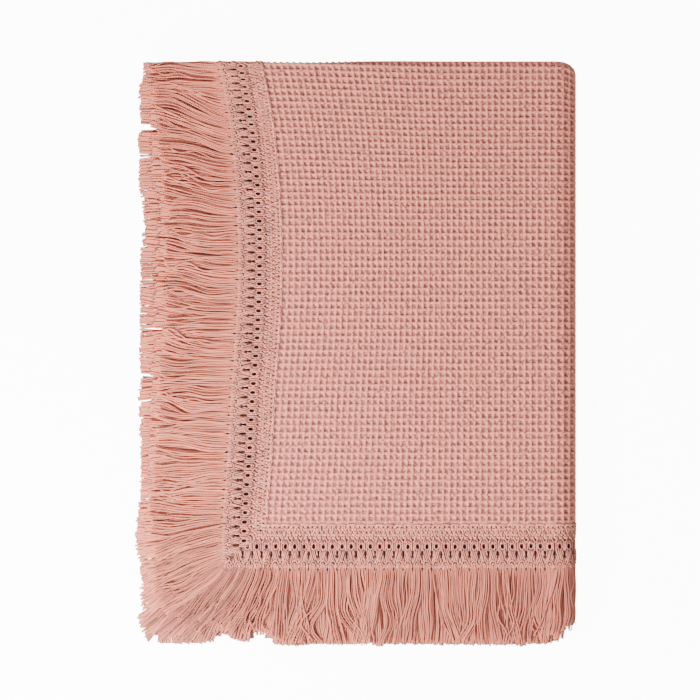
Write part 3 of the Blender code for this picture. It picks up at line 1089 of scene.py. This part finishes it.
@dataclass(frozen=True)
class LaceBand:
    """A crocheted lace band: a thin ground with open holes, and the threads that lie on it.

    The ground's rows are mm outward, and its columns shares of a repeat. A hole says whether it
    lies at the post between two repeats, and from where to where outward it runs, in mm.
    """

    edge: Edge
    material: bpy.types.Material
    columns: tuple = (-0.395, -0.15, 0.15, 0.435)
    rows: tuple = (0.4, 4.0, 8.0, 12.4, 14.2, 17.1, 20.7, 23.0, 28.0, 29.5, 30.6, 34.0, 37.3)
    holes: tuple = ((False, 17.1, 20.7), (False, 29.5, 30.6), (True, 23.0, 28.0), (True, 12.4, 14.2))
    hole_reach: float = 0.05
    hole_inset: float = 3.0 * MM
    ground: float = 0.9 * MM
    ground_depth: float = 0.35 * MM
    gap: float = 0.4 * MM
    weld: float = 0.001 * MM
    sides: int = 5
    unevenness: float = 0.17 * MM
    past_fold: float = 5.0 * MM
    fold_margin: float = 6.0 * MM
    near_fold: float = 30.0 * MM
    # Painted shade: the ground between the threads is dark on the front, lighter near a sharp fold,
    # and black where the stack hides it. Hidden threads are darker too.
    front_shade: float = 0.22
    fold_shade: float = 0.6
    thread_shades: Pair = (0.7, 1.3)
    hidden_thread_shade: float = 0.3

    def is_front(self, along: Array) -> Array:
        """Marks the places of the front: on a near edge, up to a little past its first fold.

        Args:
            along: Places along the edge.

        Returns:
            True on the front.
        """
        if self.edge.far:
            return np.zeros(np.shape(along), bool)
        return along < self.edge.marks[1] + self.past_fold

    def is_seen(self, along: Array, margin: float) -> Array:
        """Marks the front, and what lies within a margin of a sharp fold, seen from the side."""
        return self.is_front(along) | self.edge.in_hairpin(along, margin)

    def inside(self, along: Array, outward: Array) -> Array:
        """Marks places within the mitres."""
        return (along > -outward) & (along < self.edge.length + outward)

    def is_open(self, along: Array, outward: Array) -> Array:
        """Marks the pattern's holes.

        Args:
            along: Places along the edge.
            outward: Distances outward.

        Returns:
            True in a hole.
        """
        middles = self.edge.repeats()[0]
        count = np.interp(along, middles, np.arange(len(middles)))
        off_middle = np.abs(count - np.round(count))
        opened = np.zeros(along.shape, bool)
        for at_post, low, high in self.holes:
            off_hole = 0.5 - off_middle if at_post else off_middle
            beside = off_hole < self.hole_reach
            opened |= beside & (outward > low * MM) & (outward < high * MM)
        return opened & self.inside(along, outward - self.hole_inset)

    def add_ground(self, draft: Draft) -> None:
        """Adds the thin ground: a grid without its open cells, clipped at the mitres.

        Corners that meet at a mitre are welded, and the sheet is then given its thickness.

        Args:
            draft: What the ground is added to.
        """
        middles, widths = self.edge.repeats()
        stations = np.sort((middles[:, None] + np.array(self.columns) * widths[:, None]).ravel())
        grid = np.stack(np.meshgrid(stations, np.array(self.rows) * MM, indexing="ij"), axis=-1)
        limit = grid[..., 1] - self.gap
        grid[..., 0] = np.clip(grid[..., 0], -limit, self.edge.length + limit)
        faces = quads(np.arange(limit.size).reshape(limit.shape))
        cells = grid.reshape(-1, 2)[faces]
        middle = cells.mean(axis=1)
        kept = (np.ptp(cells[..., 0], axis=1) > self.weld) & ~self.is_open(*middle.T)
        places = np.concatenate((grid, np.zeros((*limit.shape, 1))), axis=-1).reshape(-1, 3)
        bm = bmesh.new()
        vertices = [bm.verts.new(point) for point in self.edge.flat(places).tolist()]
        for face in faces[kept].tolist():
            bm.faces.new([vertices[index] for index in face])
        bmesh.ops.remove_doubles(bm, verts=bm.verts, dist=self.weld)
        bmesh.ops.delete(bm, geom=[v for v in bm.verts if not v.link_faces], context="VERTS")
        bmesh.ops.recalc_face_normals(bm, faces=bm.faces)
        bmesh.ops.solidify(bm, geom=bm.faces[:], thickness=self.ground)
        bmesh.ops.recalc_face_normals(bm, faces=bm.faces)
        bm.verts.index_update()
        points = np.array([vertex.co for vertex in bm.verts])
        shells = [np.array([[vertex.index for vertex in face.verts]]) for face in bm.faces]
        bm.free()
        points[:, 2] -= points[:, 2].mean() + self.ground_depth
        order = np.concatenate([shell.ravel() for shell in shells])
        along = points[:, 0] if self.edge.along_u else points[:, 1]
        # Painted shade on the ground: black where hidden, lighter near a sharp fold, dark on the
        # front.
        shade = np.where(self.is_seen(along, self.near_fold), self.fold_shade, 0.0)
        shade = np.where(self.is_front(along), self.front_shade, shade)
        draft.add(points, shells, points[order][:, :2], shade)

    def add_threads(self, draft: Draft, random: np.random.Generator) -> None:
        """Adds every thread of every repeat.

        Args:
            draft: What the threads are added to.
            random: The source of the threads' unevenness.
        """
        centres, widths = self.edge.repeats()
        for stitch in lace_stitches():
            steps = max(3, 2 * len(stitch.places) - 1)
            middles, step = centres[::stitch.every], widths[::stitch.every]
            curve = stitch.curve(steps)
            paths = np.tile(curve * MM, (len(middles), 1, 1))
            paths[..., 0] = middles[:, None] + curve[:, 0] * step[:, None]
            paths += random.normal(0.0, self.unevenness, (len(middles), 1, 3))
            along, outward, _ = paths.mean(axis=1).T
            keep = self.inside(along, outward)
            if stitch.front_only:
                keep &= self.is_seen(along, self.fold_margin)
            paths, seen = paths[keep], self.is_seen(along[keep], self.near_fold)
            shade = random.uniform(*self.thread_shades, len(paths))
            # Painted shade: threads that the stack hides are darkened.
            shade *= np.where(seen, 1.0, self.hidden_thread_shade)
            draft.add_tubes(self.edge.flat(paths), np.full(paths.shape[:2], stitch.radius * MM),
                            self.sides, np.repeat(shade[:, None], steps, axis=1))

    def build(self, random: np.random.Generator) -> bpy.types.Object:
        """Builds the band.

        Args:
            random: The source of the threads' unevenness.

        Returns:
            The band.
        """
        draft = Draft(self.edge.stack)
        self.add_ground(draft)
        self.add_threads(draft, random)
        return draft.build(f"crochet_{self.edge.name}", self.material, "cotton_lace",
                           [f"lace_band_{self.edge.name}"])


@dataclass(frozen=True)
class YarnKind:
    """How a part of a fringe is made: its yarns, and how evenly they were cut and combed.

    A reach runs from the seam to the tips, and a gain lengthens the yarns at a corner. Both are
    given for the edges along v and for those along u. Bundles are doubled where their share of
    a corner is over crowded_from. From the share light_from a yarn's tip is lighter.
    """

    yarns: int
    sides: int
    steps: int
    radius: float
    reach: Pair
    corner_gain: Pair
    uneven: float
    wave: float
    tone: float
    fan: float
    crowded_from: float
    swell: float
    light_from: float
    parted: bool


FRONT_YARNS = YarnKind(
    yarns=6, sides=6, steps=22, radius=0.75 * MM, reach=(99.6 * MM, 102.0 * MM),
    corner_gain=(7.0 * MM, -13.0 * MM), uneven=1.2 * MM, wave=1.0, tone=1.1,
    fan=math.radians(42.0), crowded_from=0.62, swell=0.0, light_from=0.9, parted=False)
# Painted light: covered yarns get a lighter tone than the front's, to lift the shade they lie in under
# the front yarns.
COVERED_YARNS = YarnKind(
    yarns=6, sides=4, steps=10, radius=0.84 * MM, reach=(108.0 * MM, 103.0 * MM),
    corner_gain=(13.0 * MM, 13.0 * MM), uneven=0.8 * MM, wave=0.3, tone=1.24,
    fan=math.radians(47.0), crowded_from=0.04, swell=0.35, light_from=0.75, parted=True)


@dataclass(frozen=True)
class Wander:
    """How the yarns of a fringe stray along their edge.

    Rows are in mm. The climb rows hold a place from the nearer corner and the tips' shift there,
    and the parting rows a parting's place and its push. A wave is its length in mm and its size.
    Bold bundles, loose yarns and stray yarns are how many there are, as a share, and how much
    more they wander. Bends are radians along a yarn.
    """

    edge: Edge
    sway_waves: tuple = ((19.0, 1.0), (29.0, 2.2), (43.0, 3.0), (67.0, 2.6), (113.0, 2.0))
    sway_scale: Pair = (1.0 * MM, 1.95 * MM)
    sway_power: float = 1.4
    climb_until: float = 0.75
    climb_lift: float = 0.06
    stray_lift: float = 1.2 * MM
    slow_length: float = 47.0 * MM
    slow_size: float = 2.2 * MM
    bundle_span: Pair = (0.2, 1.5)
    bold_bundles: Pair = (0.2, 1.6)
    lower_gain: float = 0.7
    own_span: Pair = (0.1, 0.9)
    loose_yarns: Pair = (0.03, 2.4)
    stray_yarns: Pair = (0.05, 7.0)
    drawn_size: float = 0.45
    bends: tuple[float, float, float] = (5.0, 8.5, 15.0)
    fold_draw: float = 4.0 * MM
    fold_draw_reach: float = 20.0 * MM
    fold_draw_power: float = 2.5
    parting_reach: float = 9.0 * MM
    small_parting: float = 1.2 * MM
    small_parting_step: float = 4.0 * MM
    climb_rows: tuple = ((0, 0), (200, 0), (250, 1), (290, 3), (308, 4), (323, 10), (333, 9),
                         (349, 15), (362, 7), (375, 4), (392, 6))
    parting_rows: tuple = ((89.6, 5.0), (103.5, 4.0), (122.6, 3.2), (141.8, 3.6), (159.5, 3.2),
                           (182.3, 3.0), (235.6, 2.4), (306.5, 3.2), (329, 7.0))

    def sway(self, along: Array, phases: Array) -> Array:
        """A slow wander along the edge: a sum of sines that gathers bundles and parts them.

        Args:
            along: Places along the edge.
            phases: A phase for each sine.

        Returns:
            The tips' shifts.
        """
        scale = self.sway_scale[self.edge.along_u]
        return sum(size * scale * np.sin(TURN * along / (length * MM) + phase)
                   for (length, size), phase in zip(self.sway_waves, phases))

    def parting(self, along: Array) -> Array:
        """Draws tips away from the partings of the covered fringes: a shift that fades away.

        Args:
            along: Places along the edge.

        Returns:
            The tips' shifts.
        """
        if self.edge.along_u:
            side = np.sign(np.sin(along / self.parting_reach))
            return self.small_parting * side * np.abs(np.sin(along / self.small_parting_step))
        places, pushes = np.array(self.parting_rows).T * MM
        away = self.edge.from_corner(along)[:, None] - places
        shift = pushes * np.sign(away) * np.exp(-np.abs(away) / self.parting_reach)
        return shift.sum(axis=1) * self.edge.half_sign(along)

    def fold_parting(self, along: Array) -> Array:
        """Draws tips away from the right fold, round which the fringe fans out.

        Args:
            along: Places along the edge.

        Returns:
            The tips' shifts.
        """
        middle = sum(self.edge.marks[:2]) / 2
        beyond = np.where(along > middle, 1.0, -1.0)
        return self.fold_draw * beyond * np.exp(-np.abs(along - middle) / self.fold_draw_reach)

    def draw(self, along: Array, share: Array, kind: YarnKind, random: np.random.Generator
             ) -> tuple[Array, Array, Array]:
        """Draws each yarn's own way: the sway, sines that grow towards the tip, and strays.

        Args:
            along: The yarns' places, bundle after bundle.
            share: The points' shares of a yarn's length.
            kind: How the yarns are made.
            random: The source of every yarn's own shape.

        Returns:
            The points' shifts along the edge, each yarn's phase, and how far it lies up.
        """
        total, count = len(along), len(along) // kind.yarns
        sway = self.sway(along, random.uniform(0, TURN, len(self.sway_waves))) * kind.wave
        slow_phase = TURN * along / self.slow_length + random.uniform(0, TURN)
        bundle_phase = np.repeat(random.uniform(0, TURN, count), kind.yarns)
        bundle_size = random.uniform(*self.bundle_span, count)
        bundle_size *= 1 + self.bold_bundles[1] * (random.random(count) < self.bold_bundles[0])
        bundle_size = np.repeat(bundle_size, kind.yarns) * (1 + self.lower_gain * self.edge.along_u)
        own_phase = random.uniform(0, TURN, total)
        loose = (random.random(total) < self.loose_yarns[0]) * kind.wave
        own_size = random.uniform(*self.own_span, total) * kind.wave + self.loose_yarns[1] * loose
        stray = random.random(total) < self.stray_yarns[0]
        stray = stray * random.normal(0.0, self.stray_yarns[1], total) * MM * kind.wave
        drawn = random.normal(0.0, self.drawn_size, total) * MM * kind.wave
        if kind.parted:
            drawn += self.parting(along)
        climb = np.zeros(total)
        if not self.edge.along_u:
            climb = eased_mm(self.climb_rows, self.edge.from_corner(along)) * kind.wave
            climb *= self.edge.half_sign(along)
        shift = (sway[:, None] * share**self.sway_power
                 + climb[:, None] * smooth(share / self.climb_until)
                 + (drawn + stray)[:, None] * share**2)
        if self.edge.along_u:
            shift += self.fold_parting(along)[:, None] * share**self.fold_draw_power
        grown = np.maximum(share - KNOT_END, 0.0)
        sizes = (np.full(total, self.slow_size), bundle_size * MM * kind.wave, own_size * MM)
        for size, phase, bend in zip(sizes, (slow_phase, bundle_phase, own_phase), self.bends):
            shift += size[:, None] * np.sin(phase[:, None] + bend * share) * grown
        lift = self.climb_lift * climb + self.stray_lift * ((np.abs(stray) > 0) + loose)
        return shift, own_phase, lift


@dataclass(frozen=True)
class YarnLook:
    """How thick and how light the yarns of a fringe are along their length."""

    edge: Edge
    pulse: float = 0.06
    pulse_bend: float = 9.0
    knot_radius: float = 0.74
    thin_until: float = 0.14
    corner_swell: float = 0.22
    tip_radius: float = 0.85
    lower_shade: float = 0.34
    corner_shade: float = 0.42
    tone_play: float = 0.09
    corner_play: float = 1.2
    painted_level_shade: float = 0.18
    tip_tone: float = 0.25
    tip_share: float = 0.1
    most_tone: float = 1.6

    def radii(self, share: Array, corner: Array, phase: Array, kind: YarnKind) -> Array:
        """The yarns' radii: thin in the knot, uneven on the way and cut off at the tip.

        Args:
            share: The points' shares of a yarn's length.
            corner: How near the yarns are to a corner.
            phase: Each yarn's phase.
            kind: How the yarns are made.

        Returns:
            A radius for each yarn's point.
        """
        beat = np.sin(self.pulse_bend * share + phase[:, None])
        radii = kind.radius * (1 - self.pulse + self.pulse * beat)
        thin = self.knot_radius + (1 - self.knot_radius) * smooth(share / self.thin_until)
        radii *= thin + (kind.swell + self.corner_swell * corner) * share
        radii[:, -1] *= self.tip_radius
        return radii

    def tones(self, share: Array, corner: Array, level: Array, kind: YarnKind,
              random: np.random.Generator) -> Array:
        """The yarns' shades, with painted shade where a yarn lies low in its bundle: lighter where it
        lies high and at its tip, darker at corners.

        Args:
            share: The points' shares of a yarn's length.
            corner: How near the yarns are to a corner.
            level: How high each point lies in its bundle.
            kind: How the yarns are made.
            random: The source of every yarn's own shade.

        Returns:
            A shade for each yarn's point.
        """
        own = random.normal(0.0, self.tone_play, len(corner))[:, None]
        tone = kind.tone - self.lower_shade * self.edge.along_u - self.corner_shade * corner
        # Painted shade: a yarn is darker the lower it lies in its bundle.
        tone = tone + own * (1 + self.corner_play * corner) + self.painted_level_shade * level / MM
        tone = tone + self.tip_tone * smooth((share - kind.light_from) / self.tip_share)
        return np.clip(tone, 0.0, self.most_tone)


@dataclass(frozen=True)
class Fringe:
    """A fringe of cotton yarns, knotted into bundles along the lace.

    The cut rows are in mm. They hold where a tip lies in the folded pack, across for the lower
    fringe and along for the others, and how much is cut off there. The gather rows hold shares
    of a yarn's length and of its bundle's width. The covered gain lengthens the left edge's
    covered yarns, and straight says how straight a bundle leaves its knot: first away from the
    corners, and then how much less at one.
    """

    edge: Edge
    material: bpy.types.Material
    root: float = 34.8 * MM
    knot_shares: tuple = (0.0, 0.03, 0.05, 0.075, 0.12)
    free_share: float = 0.18
    slot_play: float = 0.24
    fan_reach: float = 62.0 * MM
    fan_power: float = 1.5
    tip_lever: float = 0.75
    straight: Pair = (0.65, 0.55)
    straight_until: float = 0.7
    fold_crowd: float = 50.0 * MM
    hairpin_margin: float = 2.0 * MM
    past_fold: float = 5.0 * MM
    covered_gain: float = -5.0 * MM
    knot_height: float = 0.55 * MM
    level_span: Pair = (-1.0, 0.8)
    settle_share: float = 0.15
    nod: float = 0.4 * MM
    nod_bend: float = 6.0
    gather_rows: tuple = ((0.0, 0.88), (0.03, 0.84), (0.05, 0.64), (0.075, 0.82), (0.12, 0.92),
                          (0.4, 0.98), (1.0, 1.03))
    lower_cut_rows: tuple = ((-200, 0), (-122, 0), (-114, 4), (-109, 8), (-97, 7), (-92, 3),
                             (-88, 4), (-84, 9), (-69, 10), (-63, 2), (-56, -1), (-40, -1),
                             (-28, 0), (158, 0), (168, 4), (174, 7), (181, 11), (188, 21))
    front_cut_rows: tuple = ((-240, 17), (-222, 12), (-206, 4), (-195, 0), (250, 0))
    left_cut_rows: tuple = ((-260, 0), (-222, -1), (-205, 0), (-190, 0), (-178, 0), (-168, -3),
                            (-155, -3), (-140, -2), (-130, 0), (76, 0), (84, 2.2), (127, 2.6),
                            (133, -1), (180, -1.5), (190, 0), (222, 0), (236, 4))

    def corner_shares(self, along: Array) -> tuple[Array, Array]:
        """How near places are to the first and the last corner, from 0 to 1.

        Args:
            along: Places along the edge.

        Returns:
            The shares of the first corner and of the last.
        """
        width = self.edge.stack.band_width
        start = np.clip(1.0 - (along + width) / self.fan_reach, 0.0, 1.0)
        end = np.clip(1.0 - (self.edge.length + width - along) / self.fan_reach, 0.0, 1.0)
        return start, end

    def crowded(self, middles: Array, widths: Array, kind: YarnKind) -> tuple[Array, Array]:
        """Doubles the bundles at the corners, and in front those next to the right fold.

        Args:
            middles: The bundles' places.
            widths: The bundles' widths.
            kind: How the yarns are made.

        Returns:
            The places and widths of all bundles.
        """
        doubled = sum(self.corner_shares(middles)) > kind.crowded_from
        if self.edge.along_u and not kind.parted:
            doubled |= middles > self.edge.marks[1] - self.fold_crowd
        more = middles[doubled] + 0.5 * widths[doubled] / kind.yarns
        return np.concatenate((middles, more)), np.concatenate((widths, widths[doubled]))

    def cut(self, tips: Array, kind: YarnKind) -> Array:
        """How much is cut off the yarns, by where their tips lie in the folded pack.

        Args:
            tips: The tips' places along the edge.
            kind: How the yarns are made.

        Returns:
            The lengths to take off.
        """
        if self.edge.along_u:
            return eased_mm(self.lower_cut_rows, self.edge.stack.across.at(tips)[0])
        rows = self.left_cut_rows if kind.parted else self.front_cut_rows
        return eased_mm(rows, self.edge.stack.along.at(tips)[0])

    def comb(self, along: Array, start: Array, end: Array, kind: YarnKind,
             random: np.random.Generator) -> tuple[Array, Array]:
        """Cuts the yarns to length and turns them at the corners.

        Args:
            along: The yarns' places, bundle after bundle.
            start: How near each one is to the first corner.
            end: How near each one is to the last corner.
            kind: How the yarns are made.
            random: The source of every yarn's own length.

        Returns:
            The yarns' lengths, and the angles that they turn to.
        """
        uneven = np.repeat(random.normal(0.0, kind.uneven, len(along) // kind.yarns), kind.yarns)
        length = kind.reach[self.edge.along_u] - self.root + uneven
        length += kind.corner_gain[self.edge.along_u] * (start + end)**3
        length += random.uniform(-1.0, 1.0, len(along)) * kind.uneven
        if kind.parted and self.edge.side is Side.LEFT:
            length += self.covered_gain
        turned = kind.fan * (end**self.fan_power - start**self.fan_power)
        return length - self.cut(along + self.tip_lever * length * np.sin(turned), kind), turned

    def add_yarns(self, draft: Draft, middles: Array, widths: Array, kind: YarnKind,
                  random: np.random.Generator) -> None:
        """Adds the yarns of some bundles.

        Each yarn runs out along its turned heading. To it are added its place in the bundle and
        its wander. It leaves the knot on top of the lace, and finds its own level further out.

        Args:
            draft: What the yarns are added to.
            middles: The bundles' places.
            widths: The bundles' widths.
            kind: How the yarns are made.
            random: The source of every yarn's own shape.
        """
        middles, widths = self.crowded(middles, widths, kind)
        count, total = len(middles), len(middles) * kind.yarns
        free = np.linspace(self.free_share, 1.0, kind.steps - len(self.knot_shares))
        share = np.concatenate((self.knot_shares, free))
        along, width = np.repeat(middles, kind.yarns), np.repeat(widths, kind.yarns)
        slot = np.tile(np.arange(kind.yarns), count)
        slot = (slot + random.uniform(-self.slot_play, self.slot_play, total)) / (kind.yarns - 1) - 0.5
        start, end = self.corner_shares(along + slot * width)
        corner = (start + end)[:, None]
        length, turned = self.comb(along, start, end, kind, random)
        straight = self.straight[0] - self.straight[1] * corner
        heading = turned[:, None] * (1 - straight * (1 - smooth(share / self.straight_until)))

        shift, own_phase, lift = Wander(self.edge).draw(along, share, kind, random)
        sideways = (slot * width)[:, None] * eased_table(np.array(self.gather_rows), share) + shift
        step = length[:, None] * np.diff(share, prepend=0.0)
        sine, cosine = np.sin(heading), np.cos(heading)
        level = random.uniform(*self.level_span, total)[:, None] * MM
        out = smooth((share - KNOT_END) / self.settle_share)
        nod = self.nod * np.sin(own_phase[:, None] + self.nod_bend * share)
        paths = np.stack((
            along[:, None] + sideways * cosine + np.cumsum(step * sine, axis=1),
            self.root + np.cumsum(step * cosine, axis=1) - sideways * sine,
            self.knot_height * (1 - out) + (level + lift[:, None] + nod) * out), axis=-1)
        look = YarnLook(self.edge)
        radii = look.radii(share, corner, own_phase, kind)
        tones = look.tones(share, corner, level * out, kind, random)
        draft.add_tubes(self.edge.flat(paths), radii, kind.sides, tones)

    def build(self, random: np.random.Generator) -> bpy.types.Object:
        """Builds the fringe: full in front, and with coarser yarns where it is covered.

        Args:
            random: The source of every yarn's own shape.

        Returns:
            The fringe.
        """
        draft = Draft(self.edge.stack)
        middles, widths = self.edge.repeats()
        keep = ~self.edge.in_hairpin(middles, self.hairpin_margin) | (not self.edge.along_u)
        middles, widths = middles[keep], widths[keep]
        front = (middles < self.edge.marks[1] + self.past_fold) & (not self.edge.far)
        if front.any():
            self.add_yarns(draft, middles[front], widths[front], FRONT_YARNS, random)
        self.add_yarns(draft, middles[~front], widths[~front], COVERED_YARNS, random)
        return draft.build(f"yarns_{self.edge.name}", self.material, "cotton_fringe",
                           [f"fringe_{self.edge.name}"])


@dataclass(frozen=True)
class Studio:
    """A white floor, soft light from the lower left, and a camera straight above.

    A light is its name, its place, its side in metres and its watts.
    """

    field_width: float = 600.6 * MM
    centre: Pair = (-6.4 * MM, 2.6 * MM)
    focus_height: float = 20.0 * MM
    lens: float = 150.0
    view_reach: float = 10.0
    floor_colour: Colour = (0.93, 0.93, 0.93)
    floor_roughness: float = 0.8
    floor_glow: float = 11.0
    floor_reach: float = 12.0
    lights: tuple = (("key_light", (-0.76, -0.64, 0.74), 0.5, 36.0),
                     ("fill_light", (-0.5, -1.0, 1.6), 1.6, 11.0))
    world_strength: float = 0.68

    def add_floor(self) -> None:
        """Adds a wide floor that glows white and throws no light on the blanket."""
        mesh = bpy.data.meshes.new("floor")
        size = self.floor_reach
        mesh.from_pydata([(-size, -size, 0), (size, -size, 0), (size, size, 0), (-size, size, 0)],
                         [], [(0, 1, 2, 3)])
        floor = bpy.data.objects.new("floor", mesh)
        material = bpy.data.materials.new("white_floor")
        material.use_nodes = True
        shader = material.node_tree.nodes["Principled BSDF"]
        shader.inputs["Base Color"].default_value = (*self.floor_colour, 1.0)
        shader.inputs["Roughness"].default_value = self.floor_roughness
        shader.inputs["Emission Color"].default_value = (1.0, 1.0, 1.0, 1.0)
        shader.inputs["Emission Strength"].default_value = self.floor_glow
        mesh.materials.append(material)
        bpy.context.scene.collection.objects.link(floor)
        floor.visible_diffuse = floor.visible_glossy = floor.visible_shadow = False

    def add_light(self, name: str, place: Sequence[float], size: float, power: float) -> None:
        """Adds a square soft light aimed at the blanket.

        Args:
            name: The light's name.
            place: Where it stands.
            size: Its side.
            power: Its watts.
        """
        data = bpy.data.lights.new(name, "AREA")
        data.size = size
        data.energy = power
        light = bpy.data.objects.new(name, data)
        light.location = place
        light.rotation_euler = Vector(place).to_track_quat("Z", "Y").to_euler()
        bpy.context.scene.collection.objects.link(light)

    def add_camera(self) -> None:
        """Adds the camera straight above, framed as the photograph is."""
        data = bpy.data.cameras.new("camera")
        data.lens = self.lens
        data.clip_end = self.view_reach
        distance = self.field_width / 2 / math.tan(math.atan(data.sensor_width / 2 / self.lens))
        camera = bpy.data.objects.new("camera", data)
        camera.location = (*self.centre, self.focus_height + distance)
        bpy.context.scene.collection.objects.link(camera)
        bpy.context.scene.camera = camera

    def build(self) -> None:
        """Sets up the studio."""
        self.add_floor()
        self.add_camera()
        for light in self.lights:
            self.add_light(*light)
        world = bpy.data.worlds.new("studio")
        world.use_nodes = True
        background = world.node_tree.nodes["Background"]
        background.inputs["Color"].default_value = (1.0, 1.0, 1.0, 1.0)
        background.inputs["Strength"].default_value = self.world_strength
        bpy.context.scene.world = world


def main() -> None:
    """Builds the blanket piece by piece, then the studio."""
    logging.basicConfig(level=logging.INFO, format="%(message)s")
    stack = FoldedStack()
    lace = YarnFinish("lace_cotton", light=(0.97, 0.355, 0.255), deep=(0.20, 0.08, 0.07)).build()
    yarn = YarnFinish("fringe_cotton", light=(0.91, 0.275, 0.18), deep=(0.22, 0.07, 0.055)).build()
    cloth = WaffleCloth(stack).build()
    for number, side in enumerate(Side):
        edge = Edge(side, stack)
        LaceBand(edge, lace).build(np.random.default_rng(LACE_SEED + number))
        Fringe(edge, yarn).build(np.random.default_rng(FRINGE_SEED + number))
    Studio().build()


if __name__ == "__main__":
    main()
